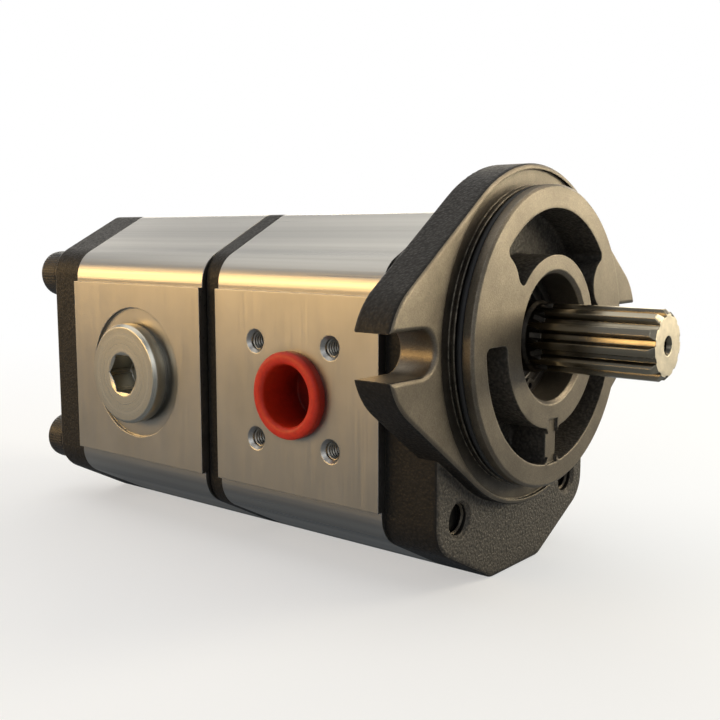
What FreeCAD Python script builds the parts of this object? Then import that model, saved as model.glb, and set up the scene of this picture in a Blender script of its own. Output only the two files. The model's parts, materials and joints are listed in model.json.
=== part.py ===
import FreeCAD, Part

import math
import os

# Tandem hydraulic gear pump: two aluminium pump sections behind one splined drive end.
# Millimetres. +X runs along the drive shaft towards its free end, +Z is up, and the origin lies
# on the shaft axis in the mounting face, which is the front of the flange ears.
# The suction side is -Y, the delivery side is +Y.

V = FreeCAD.Vector

# ---------------------------------------------------------------- driving dimensions
# lengths along the shaft
pilot_len = 6.35
ear_thick = 11.3
foot_setback = 4.4          # foot face behind the mounting face
flange_len = 21.2           # mounting face to the front body
front_body_len = 61.5
plate_len = 7.2
rear_body_len = 63.0
cover_len = 15.9            # cover at its rim
cover_rise = 4.5            # bevelled boss above the rim
shaft_reach = 38.0          # free end of the shaft ahead of the mounting face

# casing outline, seen along the shaft
casing_half_height = 50.5
casing_centre_z = -16.5     # halfway between the two gear axes
casing_side = 40.0          # flange block, centre plate and cover
body_side = 41.5            # extruded bodies above and below their pads
pad_rise = 1.5              # machined port pads stand proud of the bodies
pad_half_height = 28.5
top_flat = 13.0             # half width of the flat top
shoulder_deg = 27.5
shoulder_r = 10.0
top_r = 5.0

# mounting flange
pilot_r = 41.275
pilot_chamfer = 0.7
pilot_groove_start = 0.9
pilot_groove_len = 2.4
pilot_groove_depth = 2.3
pilot_ring_r = 1.05         # section radius of the pilot O-ring
pilot_ring_inset = 0.08     # the ring stays this far inside the pilot
relief_width = 4.2
relief_depth = 0.9
relief_undercut = 0.15      # the relief also runs a little under the pilot
flange_r = 47.0
ear_r = 19.0
ear_reach = 66.4            # ear tip from the shaft axis
slot_span = 106.4           # between the two bolt positions
slot_width = 11.1
edge_r = 1.2

# pockets in the pilot
rim_inner_r = 35.0
ring_outer_r = 22.5
lower_ring_r = 25.0
pocket_depth = 12.0
pocket_corner = 1.8
web_boss_left = 10.0
web_boss_right = 7.2
upper_pocket_low = 4.0      # where its narrow end stops above the shaft axis
rib_half = 2.7
rib_drop = 0.8

# gears
gear_distance = 33.0
gear_teeth = 12
gear_addendum = 2.75
gear_dedendum = 3.3
gear_pressure = 25.0
gear_backlash = 0.10
journal_r = 10.0
block_len = 19.6
bush_wall = 1.5

# drive spline and the spline of the coupling shaft
spline_teeth = 11
spline_module = 25.4 / 16
spline_tip_r = 9.315
spline_root_r = 7.62
spline_start = 6.0
spline_runout = 3.6
coupling_teeth = 10
coupling_module = 1.25
coupling_tip_r = 6.9
coupling_root_r = 5.5
coupling_grip = 12.0        # length held in each shaft
shaft_point = 1.3           # bevel of the shaft's free end
coupling_point = 0.7
journal_bevel = 0.8
centre_hole_r = 1.9
centre_hole_depth = 6.0
centre_mouth_r = 2.6
centre_mouth_depth = 1.2
spline_pressure = 30.0

# shaft seal
seal_bore_r = 17.5
seal_len = 7.0
seal_seat = 12.0            # seat behind the mounting face
seal_relief_r = 13.0
seal_wall = 1.0
seal_lid_gap = 3.2          # round the shaft, in the front of the case
dust_lip_len = 1.0
main_lip_x = 1.8            # main lip ahead of the seat
lip_hollow = 0.9            # between the two lips
lip_back = 2.4              # rubber over the main lip
lip_arm_x = 3.4             # where the lip hangs from the rubber in the case, ahead of the seat
garter_r = 0.65             # section radius of the spring
garter_over_lip = 2.9
circlip_thick = 1.2
circlip_depth = 1.0
circlip_reach = 2.0
circlip_eye_r = 2.2
circlip_eye_hole_r = 0.92
circlip_eye_deg = 14.0      # from the lowest point to each eye

# through bolts, M10
bolt_y = 29.5
bolt_half_z = 30.0
bolt_r = 5.0
bolt_hole_r = 5.3
bolt_tap_r = 4.3
bolt_head_r = 8.0
bolt_head_len = 10.0
bolt_hex = 8.0
bolt_hex_depth = 5.0
washer_thick = 2.5
washer_gap = 1.6
bolt_pocket_r = 12.0
bolt_tip_setback = 8.0      # bolt ends behind the mounting face
bolt_chamfer = 0.9

# cover boss and its plate
boss_land = 1.2             # flat rim round the bevel
boss_inset = 11.0
nameplate_width = 41.0
nameplate_height = 15.0
nameplate_thick = 0.8
recess_width = 44.4
recess_height = 18.6
recess_depth = 2.0

# ports
suction_r = 10.0
suction_bolt_pitch = 28.28  # square of four M6 holes, 40 mm circle
port_bolt_r = 2.5
port_bolt_depth = 14.0
port_bolt_sink = 1.0
delivery_r = 9.5
delivery_depth = 16.0
delivery_inner_r = 7.5
delivery_spot_r = 17.0
delivery_spot_depth = 0.6
plug_r = 13.2
plug_depth = 12.0
plug_len = 9.5
plug_spot_r = 21.0
plug_spot_depth = 1.0
plug_collar_r = 16.0
plug_collar_len = 4.3
plug_hex = 12.0
plug_hex_depth = 8.5
plug_washer_thick = 1.5
plug_washer_inset = 0.6     # washer inside the collar's edge
plug_bevel = 1.0
passage_r = 5.0
passage_y = 30.0

# caps and plugs of red plastic
cap_front_r = 13.0
cap_rear_r = 14.0
cap_len = 7.2
cap_stub_len = 9.0
cap_wall = 1.4
cap_notches = 6
hollow_lip_r = 12.4
hollow_lip_len = 3.4
hollow_depth = 13.0
hollow_wall = 1.5
hollow_lip_soft = 1.5       # rounding of the lip
cap_soft = 1.0
cap_dish = 0.7              # depth of the dished ring in the head
cap_dish_outer = 0.32       # its edges, as parts of the head's radius
cap_dish_inner = 0.28
cap_nub = 0.1
cap_notch_r = 0.8

# seals between the castings, dowels
face_seal_outset = 2.1      # centre line of the seal round each gear bore
face_seal_width = 2.0
groove_depth = 1.8
passage_seal_r = 6.1
passage_seal_width = 1.5
dowel_r = 2.5
dowel_len = 8.0
dowel_y = 33.0
balance_seal_inset = 3.5    # its centre line inside the gear bore
balance_seal_width = 2.2
balance_seal_start = -4.5   # where the 3-shaped seal stops on the suction side
balance_groove_depth = 2.4
backup_thick = 0.8

# clearances
running_fit = 0.03          # journals in bushings, seal lip on the shaft
tip_fit = 0.05              # gear tips and blocks in the body bore
face_fit = 0.05             # gear faces to the blocks
seat_fit = 0.01             # pressed and seated round pieces
thread_fit = 0.02
spline_fit = 0.05
seal_slack = 0.1
end_gap = 0.3               # shaft ends and pins to what faces them

# ---------------------------------------------------------------- derived places
pad_side = body_side + pad_rise
x_front_body = -flange_len
x_plate = x_front_body - front_body_len
x_rear_body = x_plate - plate_len
x_cover = x_rear_body - rear_body_len
x_cover_rim = x_cover - cover_len
x_boss = x_cover_rim - cover_rise
front_port_x = x_front_body - front_body_len / 2
rear_port_x = x_rear_body - rear_body_len / 2
driven_z = -gear_distance
pitch_r = gear_distance / 2
gear_tip_r = pitch_r + gear_addendum
bore_r = gear_tip_r + tip_fit
face_seal_r = bore_r + face_seal_outset
balance_seal_r = bore_r - balance_seal_inset
block_r = bore_r - tip_fit
bush_r = journal_r + running_fit + bush_wall
bolt_places = [(y, casing_centre_z + z) for y in (-bolt_y, bolt_y) for z in (-bolt_half_z, bolt_half_z)]
dowel_places = [(-dowel_y, 0.0), (dowel_y, driven_z)]


# ---------------------------------------------------------------- basic solids
def cyl(x0, x1, r, y=0.0, z=0.0):
    """Round bar along X between two planes."""
    low, high = min(x0, x1), max(x0, x1)
    return Part.makeCylinder(r, high - low, V(low, y, z), V(1, 0, 0))


def tube(x0, x1, outer, inner, y=0.0, z=0.0):
    return cyl(x0, x1, outer, y, z).cut(cyl(x0, x1, inner, y, z))


def side_cyl(y0, y1, r, x, z):
    """Round bar along Y between two planes."""
    low, high = min(y0, y1), max(y0, y1)
    return Part.makeCylinder(r, high - low, V(x, low, z), V(0, 1, 0))


def block(x0, x1, y0, y1, z0, z1):
    corner = V(min(x0, x1), min(y0, y1), min(z0, z1))
    return Part.makeBox(abs(x1 - x0), abs(y1 - y0), abs(z1 - z0), corner)


def slab(wire, length):
    """Extrude a closed wire that lies across X along X."""
    return Part.Face(wire).extrude(V(length, 0, 0))


def turned(points, y=0.0, z=0.0):
    """Turned piece about an axis along X, from its (x, radius) outline."""
    outline = Part.makePolygon([V(x, y, z + r) for x, r in points + points[:1]])
    return Part.Face(outline).revolve(V(0, y, z), V(1, 0, 0), 360)


def turned_side(points, side, x, z):
    """Turned piece about an axis along Y, from (distance outward, radius), on side -1 or +1."""
    outline = Part.makePolygon([V(x + r, side * out, z) for out, r in points + points[:1]])
    return Part.Face(outline).revolve(V(x, 0, z), V(0, 1, 0), 360)


def hexagon(flats, x, y, z, length, along):
    """Hexagonal bar across flats that starts at a point and runs along a direction."""
    radius = flats / math.sqrt(3)
    wire = Part.makePolygon([V(radius * math.cos(math.radians(a)), radius * math.sin(math.radians(a)), 0)
                             for a in range(0, 361, 60)])
    bar = Part.Face(wire).extrude(V(0, 0, length))
    bar.Placement = FreeCAD.Placement(V(x, y, z), FreeCAD.Rotation(V(0, 0, 1), along))
    return bar


def rounded(corners, x):
    """Closed wire across X through (y, z, corner radius) points."""
    places = [V(x, y, z) for y, z, _ in corners]
    bends = []
    for i, (_, _, radius) in enumerate(corners):
        here = places[i]
        back = (places[i - 1] - here).normalize()
        ahead = (places[(i + 1) % len(places)] - here).normalize()
        half = back.getAngle(ahead) / 2
        reach = radius / math.tan(half)
        middle = (back + ahead).normalize() * (radius / math.sin(half) - radius)
        bends.append((here + back * reach, here + middle, here + ahead * reach))
    edges = []
    for i, (start, middle, end) in enumerate(bends):
        edges.append(Part.Arc(start, middle, end).toShape())
        edges.append(Part.LineSegment(end, bends[(i + 1) % len(bends)][0]).toShape())
    return Part.Wire(edges)


def polar(x, r, angle, y=0.0, z=0.0):
    return V(x, y + r * math.cos(angle), z + r * math.sin(angle))


def arc(x, r, start, end, y=0.0, z=0.0):
    """Arc across X from one angle to another, in radians from +Y towards +Z."""
    return Part.Arc(polar(x, r, start, y, z), polar(x, r, (start + end) / 2, y, z),
                    polar(x, r, end, y, z)).toShape()


def round_edges(shape, radius, wanted):
    return shape.makeFillet(radius, [edge for edge in shape.Edges if wanted(edge)])


def in_plane(x):
    """Test for an edge that lies wholly in the plane across X."""
    return lambda edge: abs(edge.BoundBox.XMin - x) < 1e-4 and abs(edge.BoundBox.XMax - x) < 1e-4


def along_x(edge):
    """Test for an edge that runs along X."""
    box = edge.BoundBox
    return box.XLength > 1e-3 and box.YLength < 1e-4 and box.ZLength < 1e-4


# ---------------------------------------------------------------- outlines
def casing(x, side, inset=0.0):
    """Casing outline: flat top, sloped shoulders and upright sides, the same upside down."""
    slope = math.radians(shoulder_deg)
    flat = top_flat - inset * math.tan(slope / 2)
    reach = side - inset
    high = casing_half_height - inset
    low = high - (reach - flat) * math.tan(slope)
    quarter = [(flat, high, top_r), (reach, low, max(shoulder_r - inset, 2.0))]
    right = quarter + [(y, -z, r) for y, z, r in reversed(quarter)]
    left = [(-y, -z, r) for y, z, r in right]
    return rounded([(y, casing_centre_z + z, r) for y, z, r in right + left], x)


def racetrack(x, r):
    """Outline round both gear axes at one distance."""
    top, bottom = math.pi / 2, -math.pi / 2
    edges = [arc(x, r, 0, math.pi), Part.LineSegment(V(x, -r, 0), V(x, -r, driven_z)).toShape(),
             arc(x, r, math.pi, math.pi + top - bottom, 0, driven_z),
             Part.LineSegment(V(x, r, driven_z), V(x, r, 0)).toShape()]
    return Part.Wire(edges)


def ear_outline(x):
    """Two-bolt flange: the central circle, joined by tangents to a rounded ear on each side."""
    ear_y = ear_reach - ear_r
    lean = math.acos((flange_r - ear_r) / ear_y)
    edges = []
    for turn in (0.0, math.pi):
        ear = (ear_y * math.cos(turn), 0.0)
        edges.append(arc(x, ear_r, turn - lean, turn + lean, *ear))
        edges.append(Part.LineSegment(polar(x, ear_r, turn + lean, *ear), polar(x, flange_r, turn + lean)).toShape())
        edges.append(arc(x, flange_r, turn + lean, turn + math.pi - lean))
        far = (-ear[0], 0.0)
        edges.append(Part.LineSegment(polar(x, flange_r, turn + math.pi - lean),
                                      polar(x, ear_r, turn + math.pi - lean, *far)).toShape())
    return Part.Wire(edges)


def involute(angle):
    return math.tan(angle) - angle


class Teeth:
    """Involute teeth about an axis along X."""

    def __init__(self, teeth, pitch, tip, root, pressure, thinner):
        self.teeth = teeth
        self.tip = tip
        self.root = root
        self.base = pitch * math.cos(math.radians(pressure))
        self.half = math.pi / (2 * teeth) - thinner / (2 * pitch) + involute(math.radians(pressure))

    def flank(self, r):
        """Half the angle that a tooth spans at a radius."""
        return self.half - (involute(math.acos(self.base / r)) if r > self.base else 0.0)

    def flank_edges(self, x, middle, side, rising, y, z):
        """One flank as a straight foot and an arc, from root to tip or back."""
        foot = max(self.root, self.base)
        radii = [foot, (foot + self.tip) / 2, self.tip]
        a, b, c = [polar(x, r, middle + side * self.flank(r), y, z) for r in radii]
        edges = [Part.Arc(a, b, c).toShape()]
        if self.root < self.base:
            bottom = polar(x, self.root, middle + side * self.flank(self.root), y, z)
            edges.insert(0, Part.LineSegment(bottom, a).toShape())
        return edges if rising else edges[::-1]

    def wire(self, x, start=0.0, y=0.0, z=0.0):
        """Whole outline, with the middle of one tooth at the start angle."""
        edges = []
        step = 2 * math.pi / self.teeth
        for i in range(self.teeth):
            middle = start + i * step
            tip, root = self.flank(self.tip), self.flank(self.root)
            edges += self.flank_edges(x, middle, -1, True, y, z)
            edges.append(arc(x, self.tip, middle - tip, middle + tip, y, z))
            edges += self.flank_edges(x, middle, 1, False, y, z)
            edges.append(arc(x, self.root, middle + root, middle + step - root, y, z))
        return Part.Wire(Part.__sortEdges__(edges))

    def gap(self, x, middle, reach):
        """Face of one space between two teeth, carried out to a reach beyond the tips."""
        half_step = math.pi / self.teeth
        left, right = middle - half_step, middle + half_step
        tip, root = self.flank(self.tip), self.flank(self.root)
        low, high = polar(x, reach, left + tip), polar(x, reach, right - tip)
        edges = self.flank_edges(x, left, 1, True, 0, 0)
        edges.append(Part.LineSegment(polar(x, self.tip, left + tip), low).toShape())
        edges.append(Part.LineSegment(low, high).toShape())
        edges.append(Part.LineSegment(high, polar(x, self.tip, right - tip)).toShape())
        edges += self.flank_edges(x, right, -1, False, 0, 0)
        edges.append(arc(x, self.root, left + root, right - root))
        return Part.Face(Part.Wire(Part.__sortEdges__(edges)))


# ---------------------------------------------------------------- shared cuts
def bolt_holes(x0, x1, r):
    return [cyl(x0, x1, r, y, z) for y, z in bolt_places]


def dowel_holes(x):
    reach = dowel_len / 2
    return [cyl(x - reach, x + reach, dowel_r + seat_fit, y, z) for y, z in dowel_places]


def face_seal(x0, x1, width):
    outer = slab(racetrack(x0, face_seal_r + width / 2), x1 - x0)
    return outer.cut(slab(racetrack(x0, face_seal_r - width / 2), x1 - x0))


def face_groove(x0, x1):
    return face_seal(x0, x1, face_seal_width + 2 * seal_slack)


def passage_ring(x0, x1, width):
    return tube(x0, x1, passage_seal_r + width / 2, passage_seal_r - width / 2, -passage_y, casing_centre_z)


# ---------------------------------------------------------------- castings
def sector(x0, x1, inner, outer, start_deg, end_deg):
    """Part of a ring about the shaft axis between two angles."""
    start, end = math.radians(start_deg), math.radians(end_deg)
    edges = [arc(x0, outer, start, end), Part.LineSegment(polar(x0, outer, end), polar(x0, inner, end)).toShape(),
             arc(x0, inner, end, start), Part.LineSegment(polar(x0, inner, start), polar(x0, outer, start)).toShape()]
    return slab(Part.Wire(edges), x1 - x0)


def pilot_pockets():
    """Cast pockets of the pilot, round the seal housing, with the webs over the bolts left standing."""
    floor, front = pilot_len - pocket_depth, pilot_len + 1
    far = flange_r
    web_z = casing_centre_z + bolt_half_z
    left_web = [cyl(floor, front, web_boss_left, -bolt_y, web_z),
                block(floor, front, -far, -bolt_y + web_boss_left, 0, web_z)]
    right_web = [cyl(floor, front, web_boss_right, bolt_y, web_z),
                 block(floor, front, bolt_y - web_boss_right / 2, far, 0, web_z)]
    upper = sector(floor, front, ring_outer_r, rim_inner_r, 5, 141).cut(left_web + right_web)
    upper = upper.cut(block(floor, front, -far, far, 0, upper_pocket_low))
    rib = block(floor, front, -rib_half, rib_half, -far, 0)
    lower = [sector(floor, front, lower_ring_r, rim_inner_r, 180, 268).cut(rib),
             sector(floor, front, lower_ring_r, rim_inner_r, 272, 360).cut(rib)]
    pockets = []
    for pocket in [upper.Solids[0]] + [piece.Solids[0] for piece in lower]:
        soft = round_edges(pocket, pocket_corner, along_x)
        pockets.append(round_edges(soft, pocket_corner / 2, in_plane(floor)))
    pockets.append(block(pilot_len - rib_drop, front, -rib_half, rib_half, -rim_inner_r, -ring_outer_r))
    return pockets


def make_front_flange():
    ears = slab(ear_outline(-ear_thick), ear_thick)
    for side in (-1, 1):
        slot_y = side * slot_span / 2
        ears = ears.cut([cyl(-ear_thick, 0, slot_width / 2, slot_y, 0),
                         block(-ear_thick, 0, slot_y, side * (ear_reach + 1), -slot_width / 2, slot_width / 2)])
    ears = round_edges(ears, edge_r, lambda edge: in_plane(-ear_thick)(edge) or in_plane(0)(edge))
    foot = slab(casing(x_front_body, casing_side), flange_len - foot_setback)
    foot = round_edges(foot, edge_r, in_plane(-foot_setback))
    pilot = turned([(-ear_thick, 0), (-ear_thick, pilot_r), (pilot_len - pilot_chamfer, pilot_r),
                    (pilot_len, pilot_r - pilot_chamfer), (pilot_len, 0)])
    groove_end = pilot_groove_start + pilot_groove_len
    relief = tube(-relief_depth, 0, pilot_r + relief_width, pilot_r - relief_undercut)
    groove = tube(pilot_groove_start, groove_end, pilot_r + 1, pilot_r - pilot_groove_depth)
    seal_bore = turned([(-seal_seat, 0), (-seal_seat, seal_bore_r), (pilot_len - 1, seal_bore_r),
                        (pilot_len + 0.2, seal_bore_r + 1.2), (pilot_len + 0.2, 0)])
    ring_x = circlip_front()
    ring_groove = cyl(ring_x - circlip_thick, ring_x, seal_bore_r + circlip_depth)
    inner_relief = cyl(x_front_body, -seal_seat, seal_relief_r)
    tip = -bolt_tip_setback + end_gap
    taps = bolt_holes(x_front_body, tip, bolt_r + thread_fit)
    for y, z in bolt_places[::2]:
        taps.append(turned([(tip - 1, 0), (tip - 1, bolt_tap_r), (-foot_setback - 1, bolt_tap_r),
                            (-foot_setback, bolt_tap_r + 1), (-foot_setback + 1, bolt_tap_r + 1),
                            (-foot_setback + 1, 0)], y, z))
    shape = ears.fuse([foot, pilot])
    shape = shape.cut(pilot_pockets() + [relief, groove, seal_bore, ring_groove, inner_relief] + taps)
    return shape.cut([face_groove(x_front_body, x_front_body + groove_depth)] + dowel_holes(x_front_body))


def circlip_front():
    """Front face of the retaining ring, which stands against the shaft seal."""
    return -seal_seat + seal_len + seat_fit + circlip_thick


def make_body(x0, length, suction_is_flanged):
    """Extruded body: outline, port pads, figure-8 gear bore, ports and common suction passage."""
    rear = x0 - length
    port_x = x0 - length / 2
    shape = slab(casing(rear, body_side), length)
    pad = block(rear, x0, -pad_side, pad_side, casing_centre_z - pad_half_height, casing_centre_z + pad_half_height)
    shape = shape.fuse(pad).removeSplitter()
    cuts = [cyl(rear, x0, bore_r), cyl(rear, x0, bore_r, 0, driven_z)] + bolt_holes(rear, x0, bolt_hole_r)
    delivery_floor = pad_side - delivery_depth
    cuts.append(turned_side([(0, 0), (0, delivery_inner_r), (delivery_floor, delivery_inner_r),
                             (delivery_floor, delivery_r), (pad_side - delivery_spot_depth, delivery_r),
                             (pad_side - delivery_spot_depth, delivery_spot_r), (pad_side + 1, delivery_spot_r),
                             (pad_side + 1, 0)], 1, port_x, casing_centre_z))
    if suction_is_flanged:
        cuts.append(side_cyl(-pad_side - 1, 0, suction_r, port_x, casing_centre_z))
        cuts += port_bolt_holes(port_x)
        passage_end = rear
    else:
        floor = pad_side - plug_depth
        cuts.append(turned_side([(0, 0), (0, suction_r), (floor, suction_r), (floor, plug_r),
                                 (pad_side - plug_spot_depth, plug_r), (pad_side - plug_spot_depth, plug_spot_r),
                                 (pad_side + 1, plug_spot_r), (pad_side + 1, 0)], -1, port_x, casing_centre_z))
        passage_end = x0
    cuts.append(cyl(port_x, passage_end, passage_r, -passage_y, casing_centre_z))
    return shape.cut(cuts + dowel_holes(x0) + dowel_holes(rear))


def port_bolt_holes(port_x):
    """Four tapped holes in a square round the flanged suction port."""
    reach = suction_bolt_pitch / 2
    floor = pad_side - port_bolt_depth
    outline = [(floor - port_bolt_r / 2, 0), (floor, port_bolt_r), (pad_side - port_bolt_sink, port_bolt_r),
               (pad_side, port_bolt_r + port_bolt_sink), (pad_side + 1, port_bolt_r + port_bolt_sink), (pad_side + 1, 0)]
    return [turned_side(outline, -1, port_x + i * reach, casing_centre_z + j * reach)
            for i in (-1, 1) for j in (-1, 1)]


def make_centre_plate():
    shape = slab(casing(x_rear_body, casing_side), plate_len)
    shape = round_edges(shape, edge_r / 2, lambda edge: in_plane(x_rear_body)(edge) or in_plane(x_plate)(edge))
    cuts = bolt_holes(x_rear_body, x_plate, bolt_hole_r) + dowel_holes(x_plate) + dowel_holes(x_rear_body)
    cuts.append(cyl(x_rear_body, x_plate, coupling_tip_r + end_gap))
    cuts.append(cyl(x_rear_body, x_plate, passage_r, -passage_y, casing_centre_z))
    for start, end in ((x_plate - groove_depth, x_plate), (x_rear_body, x_rear_body + groove_depth)):
        cuts.append(face_groove(start, end))
        cuts.append(passage_ring(start, end, passage_seal_width + 2 * seal_slack))
    return shape.cut(cuts)


def make_rear_cover():
    base = slab(casing(x_cover_rim, casing_side), cover_len)
    base = round_edges(base, edge_r, in_plane(x_cover_rim))
    boss = Part.makeLoft([casing(x_cover_rim + edge_r / 2, casing_side, boss_land),
                          casing(x_boss, casing_side, boss_inset)], True, True)
    shape = base.fuse(boss)
    recess = slab(rounded_box(x_boss - 1, recess_width, recess_height, edge_r), recess_depth + 1)
    pockets = [cyl(x_boss - 1, x_cover_rim, bolt_pocket_r, y, z) for y, z in bolt_places]
    pockets = [round_edges(pocket, edge_r, in_plane(x_cover_rim)) for pocket in pockets]
    groove = face_groove(x_cover - groove_depth, x_cover)
    return shape.cut(pockets + [recess, groove] + bolt_holes(x_cover_rim, x_cover, bolt_hole_r) + dowel_holes(x_cover))


def rounded_box(x, width, height, r):
    """Rectangle across X, centred on the casing."""
    corners = [(width / 2, height / 2), (-width / 2, height / 2), (-width / 2, -height / 2), (width / 2, -height / 2)]
    return rounded([(y, casing_centre_z + z, r) for y, z in corners], x)


def make_nameplate():
    floor = x_boss + recess_depth
    return slab(rounded_box(floor - nameplate_thick, nameplate_width, nameplate_height, 0.6), nameplate_thick)


# ---------------------------------------------------------------- fasteners
def make_through_bolts():
    """Long socket-head bolts from the rear cover into the flange."""
    seat = x_cover_rim - washer_thick
    top = seat - bolt_head_len
    bolts = []
    for y, z in bolt_places:
        bolt = turned([(top, 0), (top, bolt_head_r - bolt_chamfer), (top + bolt_chamfer, bolt_head_r),
                       (seat, bolt_head_r), (seat, bolt_r), (-bolt_tip_setback - bolt_chamfer, bolt_r),
                       (-bolt_tip_setback, bolt_r - bolt_chamfer), (-bolt_tip_setback, 0)], y, z)
        cone = bolt_hex / 2
        drill = turned([(top + bolt_hex_depth, 0), (top + bolt_hex_depth, cone), (top + bolt_hex_depth + cone / 2, 0)], y, z)
        mouth = turned([(top, 0), (top, bolt_hex * 0.6), (top + bolt_hex * 0.1, bolt_hex / 2), (top + bolt_hex * 0.1, 0)], y, z)
        socket = hexagon(bolt_hex, top, y, z, bolt_hex_depth, V(1, 0, 0))
        bolts.append(bolt.cut([socket, drill, mouth]))
    return Part.makeCompound(bolts)


def make_bolt_washers():
    """Spring washers, each split on its outer side."""
    washers = []
    for y, z in bolt_places:
        ring = tube(x_cover_rim - washer_thick, x_cover_rim, bolt_head_r, bolt_r + thread_fit * 5, y, z)
        outer_y = y + math.copysign(bolt_head_r + 1, y)
        washers.append(ring.cut(block(x_cover_rim - washer_thick, x_cover_rim, y, outer_y,
                                      z - washer_gap / 2, z + washer_gap / 2)))
    return Part.makeCompound(washers)


def make_dowels():
    reach = dowel_len / 2 - end_gap
    bevel = dowel_r / 5
    pins = []
    for x in (x_front_body, x_plate, x_rear_body, x_cover):
        for y, z in dowel_places:
            half = min(reach, plate_len / 2 - end_gap)
            pins.append(turned([(x - half, 0), (x - half, dowel_r - bevel), (x - half + bevel, dowel_r),
                                (x + half - bevel, dowel_r), (x + half, dowel_r - bevel), (x + half, 0)], y, z))
    return Part.makeCompound(pins)


# ---------------------------------------------------------------- pump section insides
def make_block(x_outer, direction):
    """Figure-8 bearing block; its outer face meets a casting and carries the balance seal groove."""
    x_inner = x_outer + direction * block_len
    shape = cyl(x_outer, x_inner, block_r).fuse(cyl(x_outer, x_inner, block_r, 0, driven_z)).removeSplitter()
    groove = balance_band(x_outer, x_outer + direction * balance_groove_depth, balance_seal_width + 2 * seal_slack)
    return shape.cut([cyl(x_outer, x_inner, bush_r, 0, z) for z in (0.0, driven_z)] + [groove])


def balance_band(x0, x1, width):
    """3-shaped band round the delivery side of both journals."""
    bands = []
    for z in (0.0, driven_z):
        bands.append(cyl(x0, x1, balance_seal_r + width / 2, 0, z))
    band = bands[0].fuse(bands[1])
    band = band.cut([cyl(x0, x1, balance_seal_r - width / 2, 0, z) for z in (0.0, driven_z)])
    far = bore_r + 1
    return band.common(block(x0, x1, balance_seal_start, far, driven_z - far, far))


def make_bushings(x_front, x_rear):
    bushes = []
    for x0, x1 in ((x_front, x_front - block_len), (x_rear, x_rear + block_len)):
        for z in (0.0, driven_z):
            bushes.append(tube(x0, x1, bush_r - seat_fit, journal_r + running_fit, 0, z))
    return Part.makeCompound(bushes)


def make_balance_seals(x_front, x_rear, near, far):
    """Both bands of one section, between two depths in their grooves."""
    bands = []
    for x, direction in ((x_front, -1), (x_rear, 1)):
        bands.append(balance_band(x + direction * near, x + direction * far, balance_seal_width))
    return Part.makeCompound(bands)


gear_form = Teeth(gear_teeth, pitch_r, gear_tip_r, pitch_r - gear_dedendum, gear_pressure, gear_backlash)
coupling_form = Teeth(coupling_teeth, coupling_teeth * coupling_module / 2, coupling_tip_r, coupling_root_r,
                      spline_pressure, 0.0)
coupling_bore = Teeth(coupling_teeth, coupling_teeth * coupling_module / 2, coupling_tip_r + spline_fit,
                      coupling_root_r + spline_fit, spline_pressure, -2 * spline_fit)
drive_spline = Teeth(spline_teeth, spline_teeth * spline_module / 2, spline_tip_r, spline_root_r,
                     spline_pressure, 0.0)


def gear_teeth_solid(x_front, x_rear, z, start_deg):
    rear = x_rear + block_len + face_fit
    length = x_front - block_len - face_fit - rear
    return slab(gear_form.wire(rear, math.radians(start_deg), 0, z), length)


def make_gear(x_front, x_rear, z, start_deg):
    """Gear and its two journals in one piece."""
    front, rear = x_front - end_gap, x_rear + end_gap
    end_r = journal_r - journal_bevel
    journals = turned([(rear, 0), (rear, end_r), (rear + journal_bevel, journal_r),
                       (front - journal_bevel, journal_r), (front, end_r), (front, 0)], 0, z)
    return journals.fuse(gear_teeth_solid(x_front, x_rear, z, start_deg))


def make_drive_shaft():
    """Splined end, front journal, front drive gear and rear journal with the coupling's bore."""
    rear = x_plate + end_gap
    neck = spline_start - spline_runout
    body = turned([(rear, 0), (rear, journal_r - journal_bevel), (rear + journal_bevel, journal_r),
                   (neck - 1, journal_r), (neck, spline_tip_r), (shaft_reach - shaft_point, spline_tip_r),
                   (shaft_reach, spline_tip_r - shaft_point), (shaft_reach, 0)])
    body = body.fuse(gear_teeth_solid(x_front_body, x_plate, 0, -90))
    spaces = []
    reach = journal_r + 1
    step = 360 / spline_teeth
    for i in range(spline_teeth):
        middle = math.radians(90 + (i + 0.5) * step)
        gap = drive_spline.gap(spline_start, middle, reach)
        rise = polar(0, reach - spline_root_r, middle)
        run = spline_runout * (reach - spline_root_r) / (journal_r - spline_root_r)
        spaces.append(gap.extrude(V(shaft_reach - spline_start + 1, 0, 0)))
        spaces.append(gap.extrude(V(-run, rise.y, rise.z)))
    floor = shaft_reach - centre_hole_depth
    centre = turned([(floor - centre_hole_r / 2, 0), (floor, centre_hole_r),
                     (shaft_reach - centre_mouth_depth, centre_hole_r), (shaft_reach, centre_mouth_r),
                     (shaft_reach + 1, centre_mouth_r), (shaft_reach + 1, 0)])
    socket = slab(coupling_bore.wire(rear), coupling_grip + end_gap)
    return body.cut(spaces + [centre, socket])


def make_rear_drive_gear():
    shape = make_gear(x_rear_body, x_cover, 0, -90)
    depth = coupling_grip + end_gap
    front = x_rear_body - end_gap
    return shape.cut(slab(coupling_bore.wire(front - depth), depth))


def make_coupling_shaft():
    front = x_plate + coupling_grip
    rear = x_rear_body - coupling_grip
    end_r = coupling_tip_r - coupling_point
    clear = coupling_tip_r + 1
    blank = turned([(rear, 0), (rear, end_r), (rear + coupling_point, clear),
                    (front - coupling_point, clear), (front, end_r), (front, 0)])
    return slab(coupling_form.wire(rear), front - rear).common(blank)


# ---------------------------------------------------------------- shaft seal
def make_seal_case():
    rear, front = -seal_seat, -seal_seat + seal_len
    lid = journal_r + seal_lid_gap
    outer = seal_bore_r - seat_fit
    return turned([(rear, outer), (front, outer), (front, lid), (front - seal_wall, lid),
                   (front - seal_wall, outer - seal_wall), (rear, outer - seal_wall)])


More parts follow.
